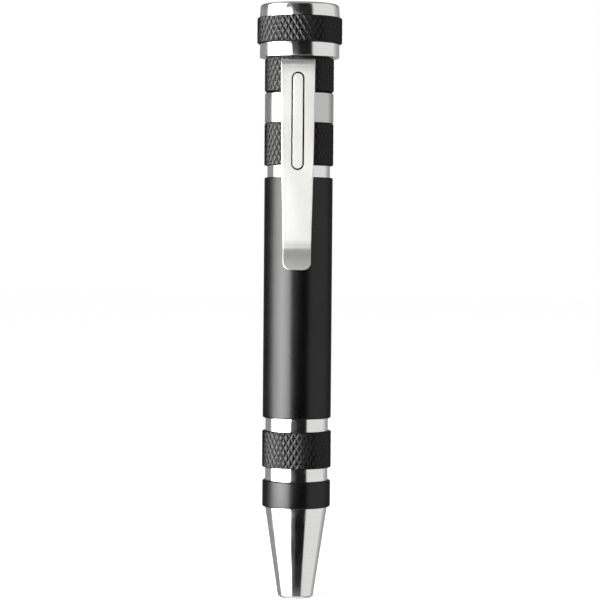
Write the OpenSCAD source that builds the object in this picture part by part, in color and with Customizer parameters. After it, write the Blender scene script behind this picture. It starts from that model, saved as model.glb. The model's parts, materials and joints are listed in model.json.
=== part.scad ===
// Pocket screwdriver with a spring clip and a bit carrier that draws out of the handle.
// The centre of the nose tip is the origin, +Z runs up the axis to the head, the clip is on the -Y side.

/* [Nose] */
// Length of the tapered nose
nose_len = 18.5; // [15:0.5:24]
// Wall of the nose at its tip, outside the corners of the socket
nose_wall = 1.08; // [0.9:0.02:1.6]
// How far the nose is drawn in from the core tube where they meet
nose_step = 0.05; // [0:0.01:0.5]
// Radius of the rounded edge round the tip
nose_tip_round = 0.6; // [0.2:0.1:0.8]
// Depth of the hex socket
socket_depth = 13; // [9:0.5:15]
// Widening of the socket at its mouth
socket_lead = 0.3; // [0.1:0.05:0.4]
// How far the magnet is drawn in from the flats of the socket
magnet_step = 0.15; // [0.1:0.01:0.4]
// Length of the magnet
magnet_len = 3; // [2:0.5:4]
// Length of the spigot that is fixed in the core tube
spigot_len = 8; // [6:0.5:12]

/* [Handle] */
// Wall of the core tube, whose outside shows in the three grooves
tube_wall = 0.95; // [0.8:0.05:1.2]
// Wall of the smooth collar above the nose
collar_wall = 0.55; // [0.45:0.01:0.8]
// Length of the collar
collar_len = 5.4; // [4:0.1:8]
// Width of the groove above the collar
front_groove = 2.6; // [1.5:0.1:4]
// Length of the front knurled ring
front_grip_len = 7.4; // [5:0.1:10]
// Width of the groove below the barrel
lower_groove = 2.6; // [1.5:0.1:4]
// Wall of the smooth barrel sleeve
barrel_wall = 0.575; // [0.5:0.005:0.7]
// Length of the barrel sleeve
barrel_len = 48.6; // [46:0.1:56]
// Width of the groove above the barrel
upper_groove = 2.4; // [1.5:0.1:4]
// Length of the rear lower knurled ring
rear_lower_len = 8.5; // [6:0.1:11]
// Wall of the bright ring between the rear knurled rings
spacer_wall = 0.6; // [0.5:0.01:0.8]
// Length of the bright ring
spacer_len = 6.4; // [4:0.1:8]
// Length of the rear upper knurled ring
rear_upper_len = 6.7; // [5:0.1:9]
// Chamfer at the ends of the collar and of turned edges
ring_edge = 0.2; // [0.1:0.05:0.4]
// Chamfer at the ends of the barrel sleeve
barrel_edge = 0.2; // [0.1:0.05:0.45]
// Chamfer at the upper end of the bright ring
spacer_edge = 0.45; // [0.1:0.05:0.5]
// Chamfer at the lower end of the bright ring
spacer_foot_edge = 0.15; // [0.1:0.05:0.5]

/* [Knurl] */
// Wall of the knurled handle rings
grip_wall = 0.65; // [0.6:0.01:0.85]
// Depth of the grooves between the diamonds
knurl_depth = 0.26; // [0.2:0.01:0.4]
// How much is turned off the points of the diamonds, which leaves their flat tops
knurl_land = 0.24; // [0.02:0.01:0.3]
// Length of one diamond along the axis
diamond_len = 2.05; // [1.4:0.05:2.6]
// Diamonds round a handle ring
grip_diamonds = 36; // [28:1:48]
// Diamonds round the head ring
head_diamonds = 43; // [34:1:56]
// Chamfer at the ends of a knurled ring
knurl_edge = 0.2; // [0.1:0.05:0.5]

/* [Head] */
// Gap between the handle and the underside of the head
head_gap = 0.15; // [0.1:0.05:0.4]
// Wall of the lower silver band round its recess
band_wall = 1.65; // [1.2:0.05:2]
// Length of the lower silver band
head_band_len = 2.85; // [2.5:0.05:4]
// Wall of the knurled head ring
head_grip_wall = 1.4; // [1.2:0.05:1.8]
// Length of the knurled head ring
head_grip_len = 5.2; // [4.6:0.1:8]
// Seat of the knurled ring on the lower band
hub_step = 0.85; // [0.6:0.05:1.2]
// Length of the top cap above the knurled ring
cap_len = 2.7; // [2:0.1:4]
// How far the top cap stands out from the hub at its lower edge
cap_lip = 0.9; // [0.7:0.05:1.2]
// How much narrower the top cap is at its upper edge
cap_taper = 0.3; // [0:0.1:0.6]
// Radius of the rounded edge of the top cap
cap_round = 0.6; // [0.2:0.1:0.9]
// Wall of the hub round the cap's spigot
hub_wall = 2.4; // [2:0.1:2.7]
// Length of the cap's spigot
cap_spigot_len = 2.2; // [1.5:0.1:2.4]
// Thickness of the web that turns on the pivot
web_t = 2; // [1.6:0.1:2.2]

/* [Bit carrier] */
// Wall between two channels, at its thinnest
channel_wall = 0.63; // [0.5:0.01:0.8]
// How far the corner of a bit lies inside the carrier's outside
bit_inset = 0.1; // [0.05:0.01:0.3]
// Length of the plug above the bits
plug_len = 10; // [8:0.5:11]
// Thickness of the disc between the two tiers
tier_disc = 1.5; // [1:0.1:2.5]
// Thickness of the disc below the lower tier
end_disc = 2; // [1:0.1:3]
// How far the flange that rests on the tube stands out past the bore
flange_lip = 0.7; // [0.5:0.05:0.85]
// Thickness of the flange
flange_t = 1.1; // [0.8:0.1:1.3]
// Section of the sealing ring
seal_section = 1.2; // [1:0.1:1.4]
// Distance from the flange down to the middle of the sealing ring
seal_drop = 4.6; // [3.2:0.1:5]
// Diameter of the pivot's shoulder
pivot_d = 3; // [2.6:0.1:3.4]
// How far the pivot's thread is drawn in from its shoulder
pivot_step = 0.4; // [0.3:0.05:0.6]
// Length of the pivot's thread
pivot_thread_len = 6; // [4:0.5:7]
// How far the pivot's head stands out from its shoulder
pivot_lip = 1.2; // [0.8:0.05:1.5]
// Thickness of the pivot's head
pivot_head_t = 1.6; // [1.2:0.1:1.8]

/* [Bits] */
// Size of a bit across its flats
bit_af = 4; // [3.9:0.05:4]
// Length of a bit
bit_len = 28; // [26:0.5:28.5]
// Length of a bit's hex shank
shank_len = 17; // [12:0.5:18]
// Length of the taper between shank and shaft
bit_taper = 1.5; // [1:0.1:2.5]
// Length of a bit's shaped tip
bit_tip_len = 2.4; // [2:0.1:3]
// Chamfer at the end of a shank
shank_edge = 0.35; // [0.2:0.05:0.5]
// Blade widths of the two slotted bits
slot_widths = [2, 3]; // [1.5:0.1:3.5]
// Shaft diameters of the two cross bits
cross_ds = [2, 2.6]; // [1.5:0.1:3.5]
// Shaft diameters of the two star bits
star_ds = [1.8, 2.5]; // [1.5:0.1:3.5]

/* [Clip] */
// Thickness of the clip's strip
clip_t = 0.7; // [0.5:0.05:0.8]
// Distance from the top of the knurled ring down to the top of the clip
clip_drop = 0.6; // [0.55:0.05:1.1]
// Height of the clip from its top to its tip
clip_len = 42.1; // [36:0.1:50]
// Length of the turned-out tip below the crease
clip_tip_len = 4.7; // [3:0.1:6]
// Width of the clip at its top
clip_top_w = 6.8; // [6.2:0.1:7.4]
// Width of the clip halfway down
clip_mid_w = 6.4; // [5.8:0.1:6.8]
// Width of the clip at its crease and tip
clip_tip_w = 5.6; // [4.8:0.1:6]
// How far each side of the tongue is drawn in from the top of the clip
tongue_step = 0.9; // [0.6:0.05:1.2]
// How far the strip stands off the knurled ring at the top
clip_standoff = 1.3; // [1:0.1:2]
// Inner radius of the bend at the top
clip_bend_r = 0.5; // [0.4:0.05:0.7]
// Inner radius of the crease
clip_crease_r = 2.5; // [1.5:0.1:4]
// Angle of the turned-out tip
clip_flare = 16; // [8:1:24]
// Radius of the corners at the tip
clip_corner_r = 1; // [0.5:0.1:1.6]
// Width of the raised oval
oval_w = 2; // [1.6:0.1:2.6]
// Length of the raised oval
oval_len = 18.9; // [12:0.1:22]
// Distance from the top of the clip to the middle of the oval
oval_drop = 12.5; // [11.5:0.1:14]
// Height of the raised oval
oval_rise = 0.12; // [0.05:0.01:0.2]
// Width and depth of the line round the oval
oval_line = 0.22; // [0.15:0.01:0.3]

/* [Clearances] */
// Clearance of a bit in its channel
bit_gap = 0.1; // [0.05:0.01:0.15]
// Clearance of a bit in the socket
socket_gap = 0.05; // [0.02:0.01:0.1]
// Radial clearance of the carrier in the core tube
carrier_gap = 0.2; // [0.1:0.01:0.3]
// Clearance all round the clip's tongue in its slot
slot_gap = 0.15; // [0.12:0.01:0.2]
// Gap between the clip's crease and the barrel
crease_gap = 0.1; // [0.05:0.01:0.3]
// Radial clearance of the head on its pivot
pivot_gap = 0.03; // [0.01:0.01:0.06]
// End clearance of the head on its pivot
end_gap = 0.1; // [0.05:0.01:0.2]
// Clearance round the carrier's flange in the head
flange_gap = 0.3; // [0.2:0.05:0.5]
// Radial clearance of the sealing ring and the magnet
seat_gap = 0.03; // [0.01:0.01:0.06]

/* [Hidden] */
$fn = 96;

// Overrun of a cut past the face that it opens
cut = 0.5;

// The bits set the size of the channels, and three channels set the carrier and the handle round it
channels = 3;
socket_af = bit_af + 2 * socket_gap;
channel_af = bit_af + 2 * bit_gap;
bit_reach = (channel_af + channel_wall) / 2 / sin(180 / channels);
carrier_d = 2 * (bit_reach + hex_r(bit_af) + bit_inset);
bore_d = carrier_d + 2 * carrier_gap;
tube_d = bore_d + 2 * tube_wall;
collar_d = tube_d + 2 * collar_wall;
barrel_d = tube_d + 2 * barrel_wall;
spacer_d = tube_d + 2 * spacer_wall;
grip_d = tube_d + 2 * grip_wall;

// Diameters of the nose
nose_tip_d = 2 * (hex_r(socket_af) + nose_wall);
nose_base_d = tube_d - 2 * nose_step;
magnet_d = socket_af - 2 * magnet_step;

// Diameters in the head, from the recess that clears the carrier's flange
flange_d = bore_d + 2 * flange_lip;
recess_d = flange_d + 2 * flange_gap;
head_band_d = recess_d + 2 * band_wall;
hub_d = head_band_d - 2 * hub_step;
hub_bore_d = hub_d - 2 * hub_wall;
head_grip_d = hub_d + 2 * head_grip_wall;
cap_d = hub_d + 2 * cap_lip;
pivot_thread_d = pivot_d - 2 * pivot_step;
pivot_head_d = pivot_d + 2 * pivot_lip;

// Heights of the faces where the handle's pieces meet
front_grip_z = nose_len + collar_len + front_groove;
barrel_z = front_grip_z + front_grip_len + lower_groove;
rear_lower_z = barrel_z + barrel_len + upper_groove;
spacer_z = rear_lower_z + rear_lower_len;
rear_upper_z = spacer_z + spacer_len;
tube_top = rear_upper_z + rear_upper_len;

// Heights in the head
flange_top = tube_top + flange_t;
head_z = tube_top + head_gap;
web_z = flange_top + head_gap;
head_grip_z = head_z + head_band_len;
cap_z = head_grip_z + head_grip_len;

// Heights in the bit carrier
channel_len = bit_len + 2 * bit_gap;
upper_tier_z = tube_top - plug_len - channel_len;
lower_tier_z = upper_tier_z - tier_disc - channel_len;
carrier_z = lower_tier_z - end_disc;
// The lips that hold a bit leave a mouth narrower than the bit
mouth_share = 0.9;

// Side outline of the clip, in Y and Z
clip_top = tube_top - clip_drop;
clip_w = max(clip_top_w, clip_mid_w, clip_tip_w);
tongue_w = clip_top_w - 2 * tongue_step;
tongue_z = clip_top - clip_t;
bend_c = [-(grip_d / 2 + clip_standoff - clip_bend_r), tongue_z - clip_bend_r];
crease_z = clip_top - clip_len + clip_tip_len;
crease_c = [-(barrel_d / 2 + crease_gap + clip_t + clip_crease_r), crease_z];
clip_span = bend_c - crease_c;
clip_reach = clip_bend_r + clip_crease_r + clip_t;
clip_lean = asin(clip_reach / norm(clip_span)) - atan2(clip_span.x, clip_span.y);
tip_run = clip_tip_len / cos(clip_flare);
// The full width of the strip ends this far from the knurled ring
shoulder_gap = 0.3;
// The tongue stops this far short of the bore
tongue_inset = 0.25;

// Radius over the corners of a hexagon of a given size across its flats
function hex_r(af) = af / 2 / cos(30);

// Points on an arc about c from angle a to angle b
function arc(c, r, a, b, n = 8) = [for (k = [0:n]) c + r * [cos(a + (b - a) * k / n), sin(a + (b - a) * k / n)]];

// Unit vector at an angle
function aim(a) = [cos(a), sin(a)];

// Turned ring with a plain bore and chamfered ends, the lower chamfer named first
module turned_ring(d, bore, h, foot_edge, edge) {
    rotate_extrude()
        polygon([
            [bore / 2, 0], [d / 2 - foot_edge, 0], [d / 2, foot_edge],
            [d / 2, h - edge], [d / 2 - edge, h], [bore / 2, h]
        ]);
}

// Solid drum of pointed diamonds that runs past both ends of a ring. Points and groove crossings
// alternate along each row and from row to row, and the grooves are the diagonals that join the
// crossings.
module diamond_drum(d, h, diamonds) {
    rows = ceil(2 * h / diamond_len) + 2;
    cols = 2 * diamonds;
    start = (h - rows * diamond_len / 2) / 2;
    point_r = d / 2 + knurl_land;
    function radius(i, j) = (i + j) % 2 == 0 ? point_r : d / 2 - knurl_depth;
    function at(i, j) = j * cols + i % cols;
    ring = [for (j = [0:rows], i = [0:cols - 1])
        [radius(i, j) * cos(360 * i / cols), radius(i, j) * sin(360 * i / cols), start + j * diamond_len / 2]];
    wall = [for (j = [0:rows - 1], i = [0:cols - 1], half = [0, 1])
        (i + j) % 2 == 0
            ? (half == 0 ? [at(i, j), at(i, j + 1), at(i + 1, j)] : [at(i, j + 1), at(i + 1, j + 1), at(i + 1, j)])
            : (half == 0 ? [at(i, j), at(i, j + 1), at(i + 1, j + 1)] : [at(i, j), at(i + 1, j + 1), at(i + 1, j)])
    ];
    // Each end closes on a point at its centre
    foot = len(ring);
    ends = [for (i = [0:cols - 1], half = [0, 1])
        half == 0 ? [foot, at(i, 0), at(i + 1, 0)] : [foot + 1, at(i + 1, rows), at(i, rows)]];
    polyhedron(
        concat(ring, [[0, 0, start], [0, 0, start + rows * diamond_len / 2]]), concat(wall, ends), convexity = 4
    );
}

// Knurled ring: a turned ring into which the diamonds are cut, so that their points end in flat
// tops at the ring's diameter and its ends keep their chamfer
module knurled_ring(d, bore, h, diamonds) {
    intersection() {
        turned_ring(d, bore, h, knurl_edge, knurl_edge);
        diamond_drum(d, h, diamonds);
    }
}

// Slot for the clip's tongue, through the wall on the -Y side
module tongue_slot() {
    slot_w = tongue_w + 2 * slot_gap;
    slot_h = clip_t + 2 * slot_gap;
    translate([-slot_w / 2, -grip_d / 2 - cut, tongue_z - slot_gap])
        cube([slot_w, grip_d / 2 + cut, slot_h]);
}

module nose_cone() {
    taper = atan((nose_base_d - nose_tip_d) / 2 / nose_len);
    spigot_top = nose_len + spigot_len;
    mouth_r = hex_r(socket_af) + socket_lead;
    color("silver")
    difference() {
        rotate_extrude()
            polygon(concat(
                [[0, 0]],
                arc([nose_tip_d / 2 - nose_tip_round, nose_tip_round], nose_tip_round, -90, -taper, 6),
                [
                    [nose_base_d / 2, nose_len], [bore_d / 2, nose_len],
                    [bore_d / 2, spigot_top - ring_edge], [bore_d / 2 - ring_edge, spigot_top],
                    [0, spigot_top]
                ]
            ));
        translate([0, 0, -cut])
            cylinder(r = hex_r(socket_af), h = socket_depth + cut, $fn = 6);
        translate([0, 0, -cut])
            cylinder(r1 = mouth_r + cut, r2 = hex_r(socket_af), h = socket_lead + cut);
        translate([0, 0, socket_depth - cut])
            cylinder(d = magnet_d + 2 * seat_gap, h = magnet_len + cut);
    }
}

module nose_magnet() {
    color("gainsboro")
    translate([0, 0, socket_depth])
        cylinder(d = magnet_d, h = magnet_len);
}

module core_tube() {
    color("silver")
    difference() {
        rotate_extrude()
            polygon([
                [bore_d / 2, nose_len], [tube_d / 2, nose_len], [tube_d / 2, tube_top],
                [bore_d / 2 + ring_edge, tube_top], [bore_d / 2, tube_top - ring_edge]
            ]);
        tongue_slot();
    }
}

module front_collar() {
    color("#202124")
    translate([0, 0, nose_len])
        turned_ring(collar_d, tube_d, collar_len, ring_edge, ring_edge);
}

module front_grip() {
    color("#202124")
    translate([0, 0, front_grip_z])
        knurled_ring(grip_d, tube_d, front_grip_len, grip_diamonds);
}

module barrel_sleeve() {
    color("#202124")
    translate([0, 0, barrel_z])
        turned_ring(barrel_d, tube_d, barrel_len, barrel_edge, barrel_edge);
}

module rear_lower_grip() {
    color("#202124")
    translate([0, 0, rear_lower_z])
        knurled_ring(grip_d, tube_d, rear_lower_len, grip_diamonds);
}

module spacer_ring() {
    color("silver")
    translate([0, 0, spacer_z])
        turned_ring(spacer_d, tube_d, spacer_len, spacer_foot_edge, spacer_edge);
}

module rear_upper_grip() {
    color("#202124")
    difference() {
        translate([0, 0, rear_upper_z])
            knurled_ring(grip_d, tube_d, rear_upper_len, grip_diamonds);
        tongue_slot();
    }
}

// Side outline of the strip: tongue, top bend, leaning run, crease and turned-out tip
module clip_side() {
    tip_dir = aim(-90 - clip_flare);
    outer_crease = crease_c + clip_crease_r * aim(-clip_flare);
    inner_crease = crease_c + (clip_crease_r + clip_t) * aim(-clip_flare);
    polygon(concat(
        [[-(bore_d / 2 + tongue_inset), tongue_z], [-(bore_d / 2 + tongue_inset), clip_top]],
        arc(bend_c, clip_bend_r + clip_t, 90, 180 + clip_lean),
        arc(crease_c, clip_crease_r, clip_lean, -clip_flare),
        [outer_crease + tip_run * tip_dir, inner_crease + tip_run * tip_dir],
        arc(crease_c, clip_crease_r + clip_t, -clip_flare, clip_lean),
        arc(bend_c, clip_bend_r, 180 + clip_lean, 90)
    ));
}

// Front outline of the strip below its tongue, in X and Z, with rounded corners at the tip
module clip_front() {
    tip_z = crease_c.y - clip_tip_len - clip_t;
    mid_z = (clip_top + crease_z) / 2;
    corner = [clip_tip_w / 2 - clip_corner_r, crease_z - clip_tip_len + clip_corner_r];
    right = concat(
        arc(corner, clip_corner_r, -90, 0),
        [[clip_tip_w / 2, crease_z], [clip_mid_w / 2, mid_z], [clip_top_w / 2, clip_top + cut]]
    );
    left = [for (k = [len(right) - 1:-1:0]) [-right[k].x, right[k].y]];
    polygon(concat(right, left));
}

// Stadium outline about the origin, long along Y
module stadium(w, l) {
    square([w, l - w], center = true);
    for (side = [-1, 1])
        translate([0, side * (l - w) / 2])
            circle(d = w);
}

module pocket_clip() {
    oval_z = clip_top - oval_drop;
    face = bend_c + (clip_bend_r + clip_t) * aim(180 + clip_lean);
    oval_y = face.x + (face.y - oval_z) * tan(clip_lean);
    shoulder_y = -(grip_d / 2 + shoulder_gap);
    color("gainsboro")
    difference() {
        union() {
            intersection() {
                translate([-clip_w / 2, 0, 0])
                    rotate([90, 0, 90])
                        linear_extrude(clip_w)
                            clip_side();
                union() {
                    translate([0, shoulder_y, 0])
                        rotate([90, 0, 0])
                            linear_extrude(grip_d)
                                clip_front();
                    translate([-tongue_w / 2, shoulder_y - cut, tongue_z - cut])
                        cube([tongue_w, grip_d, clip_t + 2 * cut]);
                }
            }
            translate([0, oval_y, oval_z])
                rotate([90 + clip_lean, 0, 0])
                    translate([0, 0, -clip_t / 2])
                        linear_extrude(clip_t / 2 + oval_rise)
                            stadium(oval_w, oval_len);
        }
        translate([0, oval_y, oval_z])
            rotate([90 + clip_lean, 0, 0])
                translate([0, 0, -oval_line])
                    linear_extrude(oval_line + cut)
                        difference() {
                            stadium(oval_w + 2 * oval_line, oval_len + 2 * oval_line);
                            stadium(oval_w, oval_len);
                        }
    }
}

// One channel of the carrier: a hexagonal seat with a mouth in the carrier's wall
module channel() {
    mouth_w = bit_af * mouth_share;
    translate([bit_reach, 0, 0])
        cylinder(r = hex_r(channel_af), h = channel_len, $fn = 6);
    translate([bit_reach, -mouth_w / 2, 0])
        cube([carrier_d / 2, mouth_w, channel_len]);
}

module bit_carrier() {
    seal_z = tube_top - seal_drop;
    seat_r = bore_d / 2 - seal_section - 2 * seat_gap;
    seat_h = seal_section / 2 + seat_gap;
    color("dimgray")
    difference() {
        rotate_extrude()
            polygon([
                [0, carrier_z], [carrier_d / 2 - ring_edge, carrier_z], [carrier_d / 2, carrier_z + ring_edge],
                [carrier_d / 2, seal_z - seat_h], [seat_r, seal_z - seat_h],
                [seat_r, seal_z + seat_h], [carrier_d / 2, seal_z + seat_h],
                [carrier_d / 2, tube_top], [flange_d / 2, tube_top], [flange_d / 2, flange_top], [0, flange_top]
            ]);
        for (z = [lower_tier_z, upper_tier_z], k = [0:channels - 1])
            translate([0, 0, z])
                rotate([0, 0, 90 + 360 * k / channels])
                    channel();
        translate([0, 0, flange_top - pivot_thread_len])
            cylinder(d = pivot_thread_d, h = pivot_thread_len + cut);
    }
}

// Puts a bit in its channel, point down
module stored(tier_z, k) {
    translate([0, 0, tier_z + bit_gap])
        rotate([0, 0, 90 + 360 * k / channels])
            translate([bit_reach, 0, 0])
                children();
}

// Hex shank, taper and round shaft of a bit whose point is at the origin
module bit_shank(shaft_d) {
    shank_z = bit_len - shank_len;
    rotate_extrude()
        polygon([
            [0, bit_tip_len], [shaft_d / 2, bit_tip_len], [shaft_d / 2, shank_z - bit_taper],
            [bit_af / 2, shank_z], [bit_af / 2, shank_z + shank_edge], [0, shank_z + shank_edge]
        ]);
    intersection() {
        translate([0, 0, shank_z])
            cylinder(r = hex_r(bit_af), h = shank_len, $fn = 6);
        rotate_extrude()
            polygon([
                [0, shank_z], [bit_af / 2, shank_z], [hex_r(bit_af), shank_z + shank_edge],
                [hex_r(bit_af), bit_len - shank_edge], [hex_r(bit_af) - shank_edge, bit_len], [0, bit_len]
            ]);
    }
}

module slotted_bit(w) {
    blade_share = 0.2;
    blade = w * blade_share;
    bit_shank(w);
    intersection() {
        cylinder(d = w, h = bit_tip_len);
        rotate([90, 0, 0])
            translate([0, 0, -w])
                linear_extrude(2 * w)
                    polygon([
                        [-blade / 2, 0], [blade / 2, 0], [w / 2, bit_tip_len], [-w / 2, bit_tip_len]
                    ]);
    }
}

module cross_bit(d) {
    point_share = 0.2;
    wing_share = 0.3;
    bit_shank(d);
    intersection() {
        cylinder(d1 = d * point_share, d2 = d, h = bit_tip_len);
        union() {
            for (a = [0, 90])
                rotate([0, 0, a])
                    translate([-d, -d * wing_share / 2, 0])
                        cube([2 * d, d * wing_share, bit_tip_len]);
            translate([0, 0, bit_tip_len / 2])
                cylinder(d1 = 0, d2 = d, h = bit_tip_len / 2);
        }
    }
}

module star_bit(d) {
    mean_share = 0.42;
    wave_share = 0.07;
    bit_shank(d);
    linear_extrude(bit_tip_len)
        polygon([for (a = [0:12:348]) d * (mean_share + wave_share * cos(6 * a)) * aim(a)]);
}

module bit_slotted_2() {
    color("#9b9da0")
    stored(lower_tier_z, 0)
        slotted_bit(slot_widths[0]);
}

module bit_slotted_3() {
    color("#9b9da0")
    stored(upper_tier_z, 0)
        slotted_bit(slot_widths[1]);
}

module bit_cross_00() {
    color("#9b9da0")
    stored(lower_tier_z, 1)
        cross_bit(cross_ds[0]);
}

module bit_cross_0() {
    color("#9b9da0")
    stored(upper_tier_z, 1)
        cross_bit(cross_ds[1]);
}

module bit_star_6() {
    color("#9b9da0")
    stored(lower_tier_z, 2)
        star_bit(star_ds[0]);
}

module bit_star_8() {
    color("#9b9da0")
    stored(upper_tier_z, 2)
        star_bit(star_ds[1]);
}

module head_seal() {
    color("black")
    translate([0, 0, tube_top - seal_drop])
        rotate_extrude()
            translate([bore_d / 2 - seat_gap - seal_section / 2, 0])
                circle(d = seal_section);
}

module carrier_pivot() {
    head_base = web_z + web_t + end_gap;
    color("#9b9da0")
    rotate_extrude()
        polygon([
            [0, flange_top - pivot_thread_len], [pivot_thread_d / 2, flange_top - pivot_thread_len],
            [pivot_thread_d / 2, flange_top], [pivot_d / 2, flange_top], [pivot_d / 2, head_base],
            [pivot_head_d / 2, head_base], [pivot_head_d / 2, head_base + pivot_head_t],
            [0, head_base + pivot_head_t]
        ]);
}

module head_core() {
    color("silver")
    rotate_extrude()
        polygon([
            [recess_d / 2, head_z], [head_band_d / 2 - ring_edge, head_z], [head_band_d / 2, head_z + ring_edge],
            [head_band_d / 2, head_grip_z], [hub_d / 2, head_grip_z], [hub_d / 2, cap_z],
            [hub_bore_d / 2, cap_z], [hub_bore_d / 2, web_z + web_t],
            [pivot_d / 2 + pivot_gap, web_z + web_t], [pivot_d / 2 + pivot_gap, web_z], [recess_d / 2, web_z]
        ]);
}

module head_grip() {
    color("#202124")
    translate([0, 0, head_grip_z])
        knurled_ring(head_grip_d, hub_d, head_grip_len, head_diamonds);
}

module head_cap() {
    top_z = cap_z + cap_len;
    top_r = (cap_d - cap_taper) / 2;
    color("silver")
    rotate_extrude()
        polygon(concat(
            [[0, cap_z - cap_spigot_len], [hub_bore_d / 2, cap_z - cap_spigot_len], [hub_bore_d / 2, cap_z]],
            [[cap_d / 2, cap_z]],
            arc([top_r - cap_round, top_z - cap_round], cap_round, 0, 90, 6),
            [[0, top_z]]
        ));
}

nose_cone();
nose_magnet();
core_tube();
front_collar();
front_grip();
barrel_sleeve();
rear_lower_grip();
spacer_ring();
rear_upper_grip();
pocket_clip();
bit_carrier();
bit_slotted_2();
bit_slotted_3();
bit_cross_00();
bit_cross_0();
bit_star_6();
bit_star_8();
head_seal();
carrier_pivot();
head_core();
head_grip();
head_cap();
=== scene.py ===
import json
import math

import bmesh
import bpy
from bpy.props import FloatProperty, FloatVectorProperty, IntProperty, PointerProperty
from mathutils import Matrix, Vector

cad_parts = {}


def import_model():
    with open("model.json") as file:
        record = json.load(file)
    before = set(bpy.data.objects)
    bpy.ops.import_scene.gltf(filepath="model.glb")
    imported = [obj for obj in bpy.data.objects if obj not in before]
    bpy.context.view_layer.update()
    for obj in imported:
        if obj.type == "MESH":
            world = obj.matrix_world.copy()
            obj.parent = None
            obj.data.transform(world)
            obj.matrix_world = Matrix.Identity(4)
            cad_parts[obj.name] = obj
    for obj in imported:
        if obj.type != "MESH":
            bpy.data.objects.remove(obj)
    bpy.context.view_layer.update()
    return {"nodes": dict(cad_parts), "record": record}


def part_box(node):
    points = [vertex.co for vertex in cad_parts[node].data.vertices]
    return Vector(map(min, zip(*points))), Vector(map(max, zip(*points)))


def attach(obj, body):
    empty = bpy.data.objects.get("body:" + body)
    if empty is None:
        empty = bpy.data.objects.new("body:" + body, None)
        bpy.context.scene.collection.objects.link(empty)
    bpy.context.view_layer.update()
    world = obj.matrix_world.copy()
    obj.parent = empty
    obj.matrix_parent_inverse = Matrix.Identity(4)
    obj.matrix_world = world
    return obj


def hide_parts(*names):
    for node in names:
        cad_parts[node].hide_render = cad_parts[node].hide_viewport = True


bl_info = {
    "name": "Pocket Screwdriver",
    "version": (1, 0, 0),
    "blender": (4, 5, 0),
    "location": "View3D > Sidebar > Screwdriver",
    "description": "Finished pieces, materials and a plain studio for a pocket screwdriver with a bit store",
    "category": "Add Mesh",
}

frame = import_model()

MM = 0.001
# Two points nearer than this are one point
SAME = 0.002 * MM
TURN = math.tau
# Flats round the small turned pieces, and round the smallest
SMALL_STEPS, TINY_STEPS = 96, 64

BODY_OF = {
    node: body for body, members in frame["record"]["behaviour"]["bodies"].items() for node in members
}


def linear(hex_colour):
    """The linear colour of an sRGB hex value such as "#C8C8C8"."""
    channels = [int(hex_colour[i:i + 2], 16) / 255 for i in (1, 3, 5)]
    return [c / 12.92 if c <= 0.04045 else ((c + 0.055) / 1.055) ** 2.4 for c in channels]


def length(name, description, millimetres):
    """A length that a user can change, given in millimetres."""
    return FloatProperty(
        name=name, description=description, default=millimetres * MM, min=0, unit="LENGTH", precision=5
    )


def colour(name, description, hex_colour):
    """A colour that a user can change, given as an sRGB hex value."""
    return FloatVectorProperty(
        name=name, description=description, default=linear(hex_colour), subtype="COLOR", min=0, max=1
    )


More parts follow.
